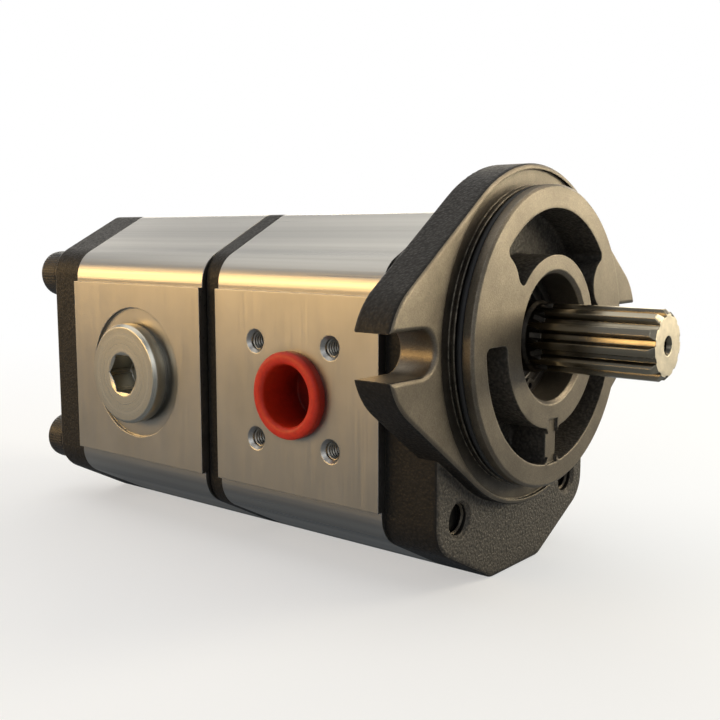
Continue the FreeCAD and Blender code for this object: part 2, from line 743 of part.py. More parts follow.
def make_seal_lip():
    """Rubber body in the case, with the main lip towards the oil and a dust lip in front."""
    rear = -seal_seat
    front = rear + seal_len - seal_wall - seat_fit
    outer = seal_bore_r - seal_wall - 2 * seat_fit
    touch = journal_r + running_fit
    dust = front - dust_lip_len
    main = rear + main_lip_x
    arm = rear + lip_arm_x
    shape = turned([(rear, outer), (front, outer), (front, touch), (dust, touch),
                    (dust - lip_hollow, touch + lip_hollow), (main + lip_hollow, touch + lip_hollow), (main, touch),
                    (rear + seal_slack, touch + lip_hollow), (rear + seal_slack, touch + garter_over_lip),
                    (arm, touch + lip_back), (arm, outer - seal_wall), (rear, outer - seal_wall)])
    spring_r, spring_x = garter_place()
    return shape.cut(Part.makeTorus(spring_r, garter_r + seat_fit, V(spring_x, 0, 0), V(1, 0, 0)))


def garter_place():
    """Ring radius and place of the garter spring, over the main lip."""
    return journal_r + running_fit + garter_over_lip, -seal_seat + main_lip_x


def make_garter_spring():
    spring_r, spring_x = garter_place()
    return Part.makeTorus(spring_r, garter_r, V(spring_x, 0, 0), V(1, 0, 0))


def make_circlip():
    """Internal retaining ring, open at the bottom, with two eyes for the pliers."""
    front = circlip_front()
    rear = front - circlip_thick
    outer = seal_bore_r + circlip_depth - seal_slack
    inner = outer - circlip_reach - circlip_depth
    lean = math.radians(circlip_eye_deg)
    half_opening = inner * math.sin(lean)
    ring = tube(rear, front, outer, inner)
    ring = ring.cut(block(rear, front, -half_opening, half_opening, -outer - 1, -inner / 2))
    for side in (-1, 1):
        y, z = side * (half_opening + circlip_eye_r / 2), -inner * math.cos(lean)
        ring = ring.fuse(cyl(rear, front, circlip_eye_r, y, z))
        ring = ring.cut(cyl(rear, front, circlip_eye_hole_r, y, z))
    return ring


def make_pilot_oring():
    ring_r = pilot_r - pilot_ring_inset - pilot_ring_r
    return Part.makeTorus(ring_r, pilot_ring_r, V(pilot_groove_start + pilot_groove_len / 2, 0, 0), V(1, 0, 0))


# ---------------------------------------------------------------- plugs and caps
def make_suction_plug():
    base = pad_side - plug_spot_depth + plug_washer_thick
    top = base + plug_collar_len
    foot = base - plug_len
    thread = plug_r - thread_fit
    shape = turned_side([(foot, 0), (foot, thread - plug_bevel), (foot + plug_bevel, thread), (base, thread),
                         (base, plug_collar_r), (top - plug_bevel, plug_collar_r),
                         (top, plug_collar_r - plug_bevel), (top, 0)], -1, rear_port_x, casing_centre_z)
    socket = hexagon(plug_hex, rear_port_x, -top, casing_centre_z, plug_hex_depth, V(0, 1, 0))
    mouth = plug_bevel / 2
    cone = turned_side([(top - mouth, 0), (top - mouth, plug_hex / 2), (top, plug_hex / 2 + 2 * mouth), (top, 0)], -1,
                       rear_port_x, casing_centre_z)
    return shape.cut([socket, cone])


def make_plug_washer():
    base = pad_side - plug_spot_depth
    outer = plug_collar_r - plug_washer_inset
    ring = side_cyl(-base, -base - plug_washer_thick, outer, rear_port_x, casing_centre_z)
    return ring.cut(side_cyl(-base, -base - plug_washer_thick, plug_r + seal_slack, rear_port_x, casing_centre_z))


def make_delivery_cap(port_x, cap_r):
    """Screw-in transit cap: notched head with a dished centre, and a hollow stub in the port."""
    base = pad_side - delivery_spot_depth
    top = base + cap_len
    stub = base - cap_stub_len
    floor = top - cap_dish
    stub_r = delivery_r - seal_slack
    stub_bevel = cap_wall / 2
    shape = turned_side([(stub, stub_r - cap_wall), (stub, stub_r - stub_bevel), (stub + stub_bevel, stub_r),
                         (base, stub_r), (base, cap_r), (top - cap_soft, cap_r), (top, cap_r - cap_soft),
                         (top, cap_r * cap_dish_outer), (floor, cap_r * cap_dish_inner), (floor, cap_r * cap_nub),
                         (top - cap_dish / 4, cap_r * cap_nub * cap_dish), (top - cap_dish / 4, 0),
                         (top - 3 * cap_dish, 0), (top - 3 * cap_dish, stub_r - cap_wall)],
                        1, port_x, casing_centre_z)
    notches = []
    for i in range(cap_notches):
        angle = math.radians((i + 0.5) * 360 / cap_notches)
        x, z = port_x + cap_r * math.cos(angle), casing_centre_z + cap_r * math.sin(angle)
        notches.append(side_cyl(base - 1, top + 1, cap_notch_r, x, z))
    return shape.cut(notches)


def make_suction_port_cap():
    """Hollow transit plug: a rounded lip on the pad and a closed sleeve in the port."""
    foot = pad_side - hollow_depth
    outer = suction_r - seat_fit
    inner = outer - hollow_wall
    top = pad_side + hollow_lip_len
    lip_in = inner + 0.3
    shape = turned_side([(foot, 0), (foot, outer - 0.8), (foot + 0.8, outer), (pad_side, outer),
                         (pad_side, hollow_lip_r), (top, hollow_lip_r), (top, lip_in),
                         (foot + hollow_wall, inner), (foot + hollow_wall, 0)], -1, front_port_x, casing_centre_z)
    lip = -top

    def on_lip(edge):
        box = edge.BoundBox
        return abs(box.YMin - lip) < 1e-4 and abs(box.YMax - lip) < 1e-4
    return round_edges(shape, hollow_lip_soft, on_lip)


# ---------------------------------------------------------------- the assembly
def make_pieces():
    groove_in_flange = (x_front_body, x_front_body + groove_depth)
    groove_plate_front = (x_plate - groove_depth, x_plate)
    groove_plate_rear = (x_rear_body, x_rear_body + groove_depth)
    groove_in_cover = (x_cover - groove_depth, x_cover)
    seal_end = balance_groove_depth
    seal_start = backup_thick
    return {
        "front_flange": make_front_flange(),
        "front_body": make_body(x_front_body, front_body_len, True),
        "centre_plate": make_centre_plate(),
        "rear_body": make_body(x_rear_body, rear_body_len, False),
        "rear_cover": make_rear_cover(),
        "nameplate": make_nameplate(),
        "through_bolts": make_through_bolts(),
        "bolt_washers": make_bolt_washers(),
        "locating_dowels": make_dowels(),
        "flange_seal": face_seal(*groove_in_flange, face_seal_width),
        "front_plate_seal": face_seal(*groove_plate_front, face_seal_width),
        "rear_plate_seal": face_seal(*groove_plate_rear, face_seal_width),
        "cover_seal": face_seal(*groove_in_cover, face_seal_width),
        "passage_seals": Part.makeCompound([passage_ring(*groove_plate_front, passage_seal_width),
                                            passage_ring(*groove_plate_rear, passage_seal_width)]),
        "front_block_flange_side": make_block(x_front_body, -1),
        "front_block_plate_side": make_block(x_plate, 1),
        "rear_block_plate_side": make_block(x_rear_body, -1),
        "rear_block_cover_side": make_block(x_cover, 1),
        "front_bushings": make_bushings(x_front_body, x_plate),
        "rear_bushings": make_bushings(x_rear_body, x_cover),
        "front_balance_seals": make_balance_seals(x_front_body, x_plate, seal_start, seal_end),
        "front_backup_strips": make_balance_seals(x_front_body, x_plate, 0.0, seal_start),
        "rear_balance_seals": make_balance_seals(x_rear_body, x_cover, seal_start, seal_end),
        "rear_backup_strips": make_balance_seals(x_rear_body, x_cover, 0.0, seal_start),
        "drive_shaft": make_drive_shaft(),
        "front_driven_gear": make_gear(x_front_body, x_plate, driven_z, 90 + 180 / gear_teeth),
        "rear_drive_gear": make_rear_drive_gear(),
        "rear_driven_gear": make_gear(x_rear_body, x_cover, driven_z, 90 + 180 / gear_teeth),
        "coupling_shaft": make_coupling_shaft(),
        "shaft_seal_case": make_seal_case(),
        "shaft_seal_lip": make_seal_lip(),
        "garter_spring": make_garter_spring(),
        "seal_circlip": make_circlip(),
        "pilot_oring": make_pilot_oring(),
        "suction_plug": make_suction_plug(),
        "suction_plug_washer": make_plug_washer(),
        "suction_port_cap": make_suction_port_cap(),
        "delivery_cap_front": make_delivery_cap(front_port_x, cap_front_r),
        "delivery_cap_rear": make_delivery_cap(rear_port_x, cap_rear_r),
    }


os.makedirs("parts", exist_ok=True)
for name, shape in make_pieces().items():
    shape.exportStep(f"parts/{name}.step")
    print(f"{name:26s} solids {len(shape.Solids)}  volume {shape.Volume:10.1f}  valid {shape.isValid()}")
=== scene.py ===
import json
import math

import bmesh
import bpy
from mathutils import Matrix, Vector


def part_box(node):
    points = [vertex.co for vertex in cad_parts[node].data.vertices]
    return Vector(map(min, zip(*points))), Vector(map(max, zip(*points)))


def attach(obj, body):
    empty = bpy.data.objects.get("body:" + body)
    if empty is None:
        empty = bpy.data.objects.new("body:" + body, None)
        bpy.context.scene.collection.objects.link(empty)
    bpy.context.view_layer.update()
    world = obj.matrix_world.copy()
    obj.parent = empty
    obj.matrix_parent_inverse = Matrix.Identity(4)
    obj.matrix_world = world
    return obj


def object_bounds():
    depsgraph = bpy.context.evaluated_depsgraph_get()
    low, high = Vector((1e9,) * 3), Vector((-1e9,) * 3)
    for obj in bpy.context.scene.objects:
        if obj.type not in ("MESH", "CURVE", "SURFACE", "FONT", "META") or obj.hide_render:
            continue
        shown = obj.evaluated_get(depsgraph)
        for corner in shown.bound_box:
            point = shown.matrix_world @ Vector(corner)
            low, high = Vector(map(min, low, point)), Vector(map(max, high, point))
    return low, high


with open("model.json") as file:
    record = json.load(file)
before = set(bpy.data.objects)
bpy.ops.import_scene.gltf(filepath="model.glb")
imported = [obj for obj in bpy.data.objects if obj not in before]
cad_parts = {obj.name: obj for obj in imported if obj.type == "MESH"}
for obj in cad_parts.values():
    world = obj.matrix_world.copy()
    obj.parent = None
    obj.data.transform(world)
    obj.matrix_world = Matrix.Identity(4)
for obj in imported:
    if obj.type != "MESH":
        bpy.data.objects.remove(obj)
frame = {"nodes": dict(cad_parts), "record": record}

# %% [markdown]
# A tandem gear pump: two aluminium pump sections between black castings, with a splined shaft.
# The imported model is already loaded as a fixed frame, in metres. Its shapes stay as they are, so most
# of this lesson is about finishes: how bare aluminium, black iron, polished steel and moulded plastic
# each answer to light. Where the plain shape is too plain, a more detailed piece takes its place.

MM = 0.001
cad_low, cad_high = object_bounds()
print("CAD box in mm", [round(v / MM, 1) for v in (*cad_low, *cad_high)])

# %% [markdown]
# The camera stands low in front of the shaft end, a little to the suction side. A lens of about 50 mm
# keeps the slight perspective of a close product shot. The direction is turned into a rotation with
# to_track_quat, which needs no empty to aim at.

# %% Camera
camera_place = Vector((133.56, -239.53, 28.49)) * MM
camera_aim = Vector((-0.62812, 0.76729, -0.12934))
camera_data = bpy.data.cameras.new("camera")
camera_data.lens = 49.0
camera_data.sensor_width = 36.0
camera_data.clip_start = 0.01
camera = bpy.data.objects.new("camera", camera_data)
camera.location = camera_place
camera.rotation_euler = camera_aim.to_track_quat("-Z", "Y").to_euler()
bpy.context.scene.collection.objects.link(camera)
bpy.context.scene.camera = camera
bpy.context.scene.view_settings.view_transform = "Standard"
print("camera", [round(v / MM) for v in camera.location], "lens", camera_data.lens)

# %% [markdown]
# Materials are node trees. These small helpers make one node and fill or link its sockets in a single
# call, so that the cells below read like a list of what each finish is made of.

# %% Node helpers
def put(tree, kind, values=None, **settings):
    """Add a shader node; each value is a constant or a socket to link."""
    made = tree.nodes.new("ShaderNode" + kind)
    for name, value in settings.items():
        setattr(made, name, value)
    for key, value in (values or {}).items():
        if isinstance(value, bpy.types.NodeSocket):
            tree.links.new(value, made.inputs[key])
        else:
            made.inputs[key].default_value = value
    return made


def sum_of(tree, operation, a, b=0.0, c=0.0, clamp=False):
    """Result of one Math node."""
    return put(tree, "Math", {0: a, 1: b, 2: c}, operation=operation, use_clamp=clamp).outputs[0]


def spread(tree, value, low, high, to_low=0.0, to_high=1.0):
    """A value stretched from one range to another, and held inside it."""
    made = put(tree, "MapRange", {"Value": value, "From Min": low, "From Max": high,
                                  "To Min": to_low, "To Max": to_high}, clamp=True)
    return made.outputs["Result"]


def tint(tree, factor, a, b, mode="MIX"):
    """Two colours mixed by a factor."""
    made = put(tree, "Mix", {0: factor, 6: a, 7: b}, data_type="RGBA", blend_type=mode)
    return made.outputs[2]


print("node helpers:", put.__name__, sum_of.__name__, spread.__name__, tint.__name__)

# %% [markdown]
# The background is a pale room. Low down, where the camera looks, the world is white; higher up it is
# dimmer, as a ceiling is, so round and polished metal shows both light and dark. The Light Path node
# tells which kind of ray asks: the camera sees the room, and the pump is lit by a dim plain light.

# %% World
def seen_by(tree, camera_part, glossy_part):
    """One strength for camera and transmission rays, another for glossy rays, 0 for the rest."""
    path = put(tree, "LightPath")
    direct = sum_of(tree, "MAXIMUM", path.outputs["Is Camera Ray"], path.outputs["Is Transmission Ray"])
    glossy = sum_of(tree, "MULTIPLY", path.outputs["Is Glossy Ray"], glossy_part)
    return sum_of(tree, "MAXIMUM", sum_of(tree, "MULTIPLY", direct, camera_part), glossy)


white_colour = (1.0, 1.0, 1.0, 1.0)
world = bpy.data.worlds.new("studio")
bpy.context.scene.world = world
world.use_nodes = True
tree = world.node_tree
tree.nodes.clear()
height = put(tree, "SeparateXYZ", {0: put(tree, "TexCoord").outputs["Generated"]}).outputs["Z"]
ceiling = spread(tree, height, 0.22, 0.62)
room = tint(tree, ceiling, white_colour, (0.34, 0.36, 0.40, 1.0))
dim = put(tree, "Background", {"Color": (0.88, 0.94, 1.0, 1.0), "Strength": 0.28})
white = put(tree, "Background", {"Color": room, "Strength": 1.0})
chosen = put(tree, "MixShader", {0: seen_by(tree, 1.0, 0.45), 1: dim.outputs[0], 2: white.outputs[0]})
put(tree, "OutputWorld", {"Surface": chosen.outputs[0]})
print("world", world.name, len(tree.nodes), "nodes")

# %% [markdown]
# The floor is matt, so it holds the pump's soft shadow. Some white glow is mixed in, little near the
# pump and all of it further out, so the floor runs into the white background with no edge. Polished
# metal sees a shaded, bluish floor instead, which keeps the undersides dark.

# %% Floor
floor_half = 6.0
glow_start, glow_end = 0.16, 0.65
floor_mesh = bpy.data.meshes.new("floor")
floor_mesh.from_pydata([(-floor_half, -floor_half, 0), (floor_half, -floor_half, 0),
                        (floor_half, floor_half, 0), (-floor_half, floor_half, 0)], [], [(0, 1, 2, 3)])
floor = bpy.data.objects.new("floor", floor_mesh)
floor.location = ((cad_low[0] + cad_high[0]) / 2, 0, cad_low[2])
bpy.context.scene.collection.objects.link(floor)
floor_look = bpy.data.materials.new("floor")
floor_look.use_nodes = True
tree = floor_look.node_tree
tree.nodes.clear()
from_middle = put(tree, "TexCoord").outputs["Object"]
away = put(tree, "VectorMath", {0: from_middle}, operation="LENGTH").outputs["Value"]
matt = put(tree, "BsdfDiffuse", {"Color": (0.80, 0.84, 0.90, 1.0)})
bright = put(tree, "Emission", {"Color": white_colour, "Strength": 1.0})
near_glow = seen_by(tree, 0.46, 0.0)
far_glow = seen_by(tree, 1.0, 0.4)
glow = put(tree, "Mix", {0: spread(tree, away, glow_start, glow_end), 2: near_glow, 3: far_glow}).outputs[0]
mixed = put(tree, "MixShader", {0: glow, 1: matt.outputs[0], 2: bright.outputs[0]})
shade = put(tree, "Emission", {"Color": (0.62, 0.80, 1.0, 1.0), "Strength": 0.12})
soft = put(tree, "MixShader", {0: seen_by(tree, 0.0, 0.8), 1: mixed.outputs[0], 2: shade.outputs[0]})
put(tree, "OutputMaterial", {"Surface": soft.outputs[0]})
floor_mesh.materials.append(floor_look)
print("floor at", round(floor.location.z / MM, 1), "mm")

# %% [markdown]
# Metal shows its lamps, so the lamps are large soft panels. The main one hangs over the pump. A golden
# one stands low and close beside the suction side, so the pads are brightest at their top. Others light
# the delivery side, the cover and the flange, and a weak one fills the front.

# %% Lamps
middle = (Vector(cad_low) + Vector(cad_high)) / 2


def soft_lamp(name, place, width, height, watts, colour):
    """Area lamp aimed at the middle of the pump."""
    data = bpy.data.lights.new(name, "AREA")
    data.shape = "RECTANGLE"
    data.size = width
    data.size_y = height
    data.energy = watts
    data.color = colour
    lamp = bpy.data.objects.new(name, data)
    lamp.location = place
    lamp.rotation_euler = (middle - lamp.location).to_track_quat("-Z", "Y").to_euler()
    bpy.context.scene.collection.objects.link(lamp)
    print(name, watts, "W")


soft_lamp("main_panel", (-0.45, 0.1, 1.15), 1.8, 1.5, 8.5, (1.0, 0.96, 0.88))
soft_lamp("warm_panel", (-0.66, -0.72, 0.20), 0.9, 0.3, 4.8, (1.0, 0.61, 0.19))
soft_lamp("rear_panel", (-0.5, 1.15, 0.3), 1.1, 0.6, 5.5, (1.0, 0.88, 0.66))
soft_lamp("cover_panel", (-1.05, 0.55, 0.22), 0.9, 0.6, 4.2, (1.0, 0.94, 0.84))
soft_lamp("right_panel", (0.82, 0.95, 0.17), 1.0, 0.3, 8.0, (1.0, 0.88, 0.63))
soft_lamp("flange_panel", (0.30, 0.30, 0.36), 0.25, 0.25, 1.5, (1.0, 0.86, 0.64))
soft_lamp("fill_panel", (0.6, -1.2, 0.7), 0.9, 0.7, 2.0, (0.92, 0.96, 1.0))

# %% [markdown]
# Some effects return in many finishes: worn edges with a painted highlight, cast grain, tool marks, grime
# with painted shade. Each is built once as a node group with named inputs, like a function, and then placed
# in a material with its own numbers.

# %% Group helpers
def new_group(name, inputs, outputs):
    """Empty node group with named sockets: its tree and its input and output nodes."""
    made = bpy.data.node_groups.new(name, "ShaderNodeTree")
    for label, value in inputs.items():
        made.interface.new_socket(label, in_out="INPUT", socket_type="NodeSocketFloat").default_value = value
    for label in outputs:
        made.interface.new_socket(label, in_out="OUTPUT", socket_type="NodeSocketFloat")
    return made, made.nodes.new("NodeGroupInput").outputs, made.nodes.new("NodeGroupOutput")


def use_group(tree, group, values=None):
    """Place a group in a material and set its inputs."""
    made = put(tree, "Group", node_tree=group)
    for key, value in (values or {}).items():
        if isinstance(value, bpy.types.NodeSocket):
            tree.links.new(value, made.inputs[key])
        else:
            made.inputs[key].default_value = value
    return made.outputs


def place(tree):
    """Position on the piece, in metres."""
    return put(tree, "TexCoord").outputs["Object"]


def noise(tree, where, scale, detail=3.0, roughness=0.55):
    """Grey cloudy noise."""
    return put(tree, "TexNoise", {"Vector": where, "Scale": scale, "Detail": detail,
                                  "Roughness": roughness}).outputs["Fac"]


def report_group(group):
    sockets = [socket.name for socket in group.interface.items_tree if socket.in_out == "OUTPUT"]
    print("group", group.name, "puts out", sockets)


# %% [markdown]
# Edge wear and painted highlight. Handling rubs a finish thin on its corners first, and the mask also paints
# corners pale as a highlight. A Bevel node gives the normal of a rounded corner; where it differs from the
# real normal there is an edge. Noise breaks the line up.

# %% Edge wear and painted highlight group
wear_and_highlight_inputs = {"Width": 0.0005, "Amount": 1.0, "Breaks": 500.0}
# The mask pales edges: worn edges and a painted highlight on them.
edge_wear_and_highlight, given, result = new_group("edge wear", wear_and_highlight_inputs, ["Mask"])
edge_wear_and_highlight.interface.new_socket("Soft Normal", in_out="OUTPUT", socket_type="NodeSocketVector")
rounded = put(edge_wear_and_highlight, "Bevel", {"Radius": given["Width"]}, samples=4)
edge_wear_and_highlight.links.new(rounded.outputs[0], result.inputs["Soft Normal"])
straight = put(edge_wear_and_highlight, "NewGeometry").outputs["Normal"]
turn = put(edge_wear_and_highlight, "VectorMath", {0: rounded.outputs[0], 1: straight}, operation="DOT_PRODUCT")
corner = spread(edge_wear_and_highlight, turn.outputs["Value"], 0.995, 0.80)
breakup = noise(edge_wear_and_highlight, place(edge_wear_and_highlight), given["Breaks"], 4.0, 0.6)
breakup = spread(edge_wear_and_highlight, breakup, 0.35, 0.62)
worn_and_highlit = sum_of(edge_wear_and_highlight, "MULTIPLY", corner, breakup)
edge_wear_and_highlight.links.new(sum_of(edge_wear_and_highlight, "MULTIPLY", worn_and_highlit, given["Amount"], clamp=True), result.inputs["Mask"])
report_group(edge_wear_and_highlight)

# %% [markdown]
# Sand-cast skin. Molten iron copies the grains of its sand mould, so the skin is a fine pebble of
# bumps about half a millimetre across, with shallow hollows between them.

# %% Cast skin group
skin_inputs = {"Grain": 1500.0, "Patches": 90.0}
cast_skin, given, result = new_group("cast skin", skin_inputs, ["Height", "Speckle", "Patch"])
spot = place(cast_skin)
grains = put(cast_skin, "TexVoronoi", {"Vector": spot, "Scale": given["Grain"]}, feature="SMOOTH_F1")
fine = noise(cast_skin, spot, sum_of(cast_skin, "MULTIPLY", given["Grain"], 1.7), 3.0, 0.65)
wide = noise(cast_skin, spot, sum_of(cast_skin, "MULTIPLY", given["Grain"], 0.3), 3.0, 0.55)
pebble = sum_of(cast_skin, "SUBTRACT", 1.0, grains.outputs["Distance"])
height = sum_of(cast_skin, "MULTIPLY_ADD", fine, 0.7, pebble)
height = sum_of(cast_skin, "MULTIPLY_ADD", wide, 0.25, height)
cast_skin.links.new(height, result.inputs["Height"])
cast_skin.links.new(spread(cast_skin, height, 0.8, 1.5), result.inputs["Speckle"])
cast_skin.links.new(spread(cast_skin, noise(cast_skin, spot, given["Patches"], 4.0, 0.6), 0.3, 0.7),
                    result.inputs["Patch"])
report_group(cast_skin)

# %% [markdown]
# Straight tool marks. A die or a milling cutter leaves fine parallel lines. Noise squeezed hard along
# one direction gives such lines: a large scale across them and a small one along them.

# %% Straight marks group
marks_inputs = {"Across X": 10.0, "Across Y": 10.0, "Across Z": 10.0, "Detail": 4.0}
straight_marks, given, result = new_group("straight marks", marks_inputs, ["Height", "Tone"])
squeeze = put(straight_marks, "CombineXYZ",
              {0: given["Across X"], 1: given["Across Y"], 2: given["Across Z"]})
squeezed = put(straight_marks, "VectorMath", {0: place(straight_marks), 1: squeeze.outputs[0]},
               operation="MULTIPLY")
lines = noise(straight_marks, squeezed.outputs[0], 1.0, given["Detail"], 0.7)
straight_marks.links.new(lines, result.inputs["Height"])
slow = noise(straight_marks, squeezed.outputs[0], 0.22, 2.0, 0.5)
straight_marks.links.new(spread(straight_marks, slow, 0.3, 0.7), result.inputs["Tone"])
report_group(straight_marks)

# %% [markdown]
# Turned marks. A lathe leaves rings round its axis. The distance from that axis, fed to a noise that
# varies with nothing else, gives rings of uneven depth.

# %% Turned marks group
def make_turned_marks(name, first, second):
    """Rings round an axis through two coordinates of the piece."""
    ring_inputs = {"Centre A": 0.0, "Centre B": 0.0, "Rings": 2500.0}
    group, given, result = new_group(name, ring_inputs, ["Height", "Tone"])
    parts = put(group, "SeparateXYZ", {0: place(group)}).outputs
    a = sum_of(group, "SUBTRACT", parts[first], given["Centre A"])
    b = sum_of(group, "SUBTRACT", parts[second], given["Centre B"])
    reach = sum_of(group, "SQRT", sum_of(group, "MULTIPLY_ADD", a, a, sum_of(group, "MULTIPLY", b, b)))
    line = put(group, "CombineXYZ", {0: sum_of(group, "MULTIPLY", reach, given["Rings"])}).outputs[0]
    group.links.new(noise(group, line, 1.0, 4.0, 0.7), result.inputs["Height"])
    group.links.new(spread(group, noise(group, line, 0.15, 2.0), 0.3, 0.7), result.inputs["Tone"])
    report_group(group)
    return group


turned_along_x = make_turned_marks("turned marks along X", "Y", "Z")
turned_along_y = make_turned_marks("turned marks along Y", "X", "Z")

# %% [markdown]
# Grime and painted shade. Oil and dust stay in corners that no cloth reaches, and shade falls there as well.
# Ambient occlusion finds those corners, and the mask darkens them with both.

# %% Grime and painted shade group
grime_and_shade, given, result = new_group("grime_and_shade", {"Reach": 0.004, "Amount": 1.0, "Patches": 150.0}, ["Mask"])
# Ambient occlusion darkens the hollows: painted shade, broken into patches like grime.
hidden = put(grime_and_shade, "AmbientOcclusion", {"Distance": given["Reach"]}, samples=6)
shaded_corners = spread(grime_and_shade, hidden.outputs["AO"], 0.95, 0.35)
patchy = spread(grime_and_shade, noise(grime_and_shade, place(grime_and_shade), given["Patches"], 4.0, 0.6), 0.25, 0.6, 0.45, 1.0)
shade_and_grime = sum_of(grime_and_shade, "MULTIPLY", shaded_corners, patchy)
grime_and_shade.links.new(sum_of(grime_and_shade, "MULTIPLY", shade_and_grime, given["Amount"], clamp=True), result.inputs["Mask"])
report_group(grime_and_shade)

# %% [markdown]
# Every finish starts the same way: a material with one Principled shader. Numbers that are the same all
# over the piece are set on the shader itself, and only what changes over the surface is linked to it.

# %% Material helpers
def new_look(name, roughness, metallic, specular=0.5):
    """Material with a Principled shader; returns the material, its tree and the shader."""
    look = bpy.data.materials.new(name)
    look.use_nodes = True
    tree = look.node_tree
    tree.nodes.clear()
    shader = put(tree, "BsdfPrincipled", {"Roughness": roughness, "Metallic": metallic,
                                          "Specular IOR Level": specular})
    put(tree, "OutputMaterial", {"Surface": shader.outputs[0]})
    print("finish:", name)
    return look, tree, shader


def feed(tree, shader, **sockets):
    """Link or set shader sockets by name, with _ for a space."""
    for key, value in sockets.items():
        socket = shader.inputs[key.replace("_", " ")]
        if isinstance(value, bpy.types.NodeSocket):
            tree.links.new(value, socket)
        else:
            socket.default_value = value


def bump(tree, height, depth, normal):
    """Normal of a bumpy surface over another normal; the depth is in metres."""
    made = put(tree, "Bump", {"Height": height, "Strength": 1.0, "Distance": depth, "Normal": normal})
    return made.outputs[0]


def layered(tree, tone, dirt_and_shade, dirt_and_shade_colour, wear_and_highlight, wear_and_highlight_colour):
    """A finish darkened in its corners by painted shade with oil and dust, and paled on its edges by abrasion
    and a painted highlight.
    """
    # Corners take a dark colour: painted shade and grime.
    tone = tint(tree, dirt_and_shade["Mask"], tone, (*dirt_and_shade_colour, 1.0))
    # Edges take a pale colour: wear and a painted highlight.
    return tint(tree, wear_and_highlight["Mask"], tone, (*wear_and_highlight_colour, 1.0))


# %% [markdown]
# Extruded aluminium. The pump bodies are cut from a bar that was pushed through a die, so fine streaks
# run along X, all round the bar. The metal is bare: metallic 1, a pale grey with a little warmth, and a
# roughness that changes from streak to streak. The scale across the streaks is about a millimetre.

# %% Extruded aluminium
extruded, tree, shader = new_look("extruded aluminium", 0.34, 1.0)
marks = use_group(tree, straight_marks, {"Across X": 5.0, "Across Y": 1000.0, "Across Z": 1000.0})
dirt_and_shade = use_group(tree, grime_and_shade, {"Reach": 0.004, "Amount": 0.5})
wear_and_highlight = use_group(tree, edge_wear_and_highlight, {"Width": 0.0004, "Amount": 0.6})
tone = tint(tree, marks["Tone"], (0.38, 0.37, 0.35, 1.0), (0.50, 0.485, 0.45, 1.0))
# Dark corner colour: painted shade and grime. Pale edge colour: wear and a painted highlight.
tone = layered(tree, tone, dirt_and_shade, (0.10, 0.09, 0.08), wear_and_highlight, (0.75, 0.72, 0.66))
feed(tree, shader, Base_Color=tone, Roughness=spread(tree, marks["Height"], 0.3, 0.7, 0.26, 0.44),
     Normal=bump(tree, marks["Height"], 0.00003, wear_and_highlight["Soft Normal"]))

# %% [markdown]
# Milled aluminium. The port pads are faced with a cutter that moves up and down, so their lines run
# along Z and are finer than the die's streaks. A soft cloud of tone stands for cutting fluid that dried.

# %% Milled aluminium
milled, tree, shader = new_look("milled aluminium", 0.34, 1.0)
marks = use_group(tree, straight_marks, {"Across X": 2600.0, "Across Y": 30.0, "Across Z": 45.0})
cloud = spread(tree, noise(tree, place(tree), 55.0, 3.0), 0.3, 0.7)
dirt_and_shade = use_group(tree, grime_and_shade, {"Reach": 0.003, "Amount": 0.45})
wear_and_highlight = use_group(tree, edge_wear_and_highlight, {"Width": 0.0004, "Amount": 0.7})
tone = tint(tree, cloud, (0.43, 0.405, 0.355, 1.0), (0.51, 0.48, 0.42, 1.0))
tone = tint(tree, sum_of(tree, "MULTIPLY", marks["Tone"], 0.2), tone, (0.50, 0.475, 0.42, 1.0))
# Dark corner colour: painted shade and grime. Pale edge colour: wear and a painted highlight.
tone = layered(tree, tone, dirt_and_shade, (0.10, 0.09, 0.08), wear_and_highlight, (0.75, 0.72, 0.66))
feed(tree, shader, Base_Color=tone, Roughness=spread(tree, marks["Height"], 0.3, 0.7, 0.28, 0.40),
     Normal=bump(tree, marks["Height"], 0.000006, wear_and_highlight["Soft Normal"]))

# %% [markdown]
# Black cast iron. The flange block, the plate between the sections and the cover's rim keep their sand
# skin under a thin black coat. It is not metallic: the coat hides the iron, and only worn edges show it,
# painted pale as a highlight as well.

# %% Black cast iron
cast_black, tree, shader = new_look("black cast iron", 0.55, 0.0, 0.22)
skin = use_group(tree, cast_skin, {"Grain": 1300.0})
dirt_and_shade = use_group(tree, grime_and_shade, {"Reach": 0.006, "Amount": 0.8})
wear_and_highlight = use_group(tree, edge_wear_and_highlight, {"Width": 0.0006, "Amount": 0.5, "Breaks": 800.0})
tone = tint(tree, skin["Speckle"], (0.006, 0.006, 0.006, 1.0), (0.026, 0.022, 0.018, 1.0))
tone = tint(tree, skin["Patch"], tone, (0.010, 0.009, 0.008, 1.0))
# Dark corner colour: painted shade and grime. Pale edge colour: wear and a painted highlight.
tone = layered(tree, tone, dirt_and_shade, (0.004, 0.004, 0.004), wear_and_highlight, (0.16, 0.13, 0.10))
feed(tree, shader, Base_Color=tone, Roughness=spread(tree, skin["Speckle"], 0.0, 1.0, 0.60, 0.40),
     Normal=bump(tree, skin["Height"], 0.00012, wear_and_highlight["Soft Normal"]))

# %% [markdown]
# Rough cast iron. The back of the cover and the floors of the pockets are cast too, but the coat on
# them is thin: tiny peaks of brown-grey iron show through, which gives a coarse sparkle. The same skin
# group is used, with larger grains, a deeper bump and some metal in it.

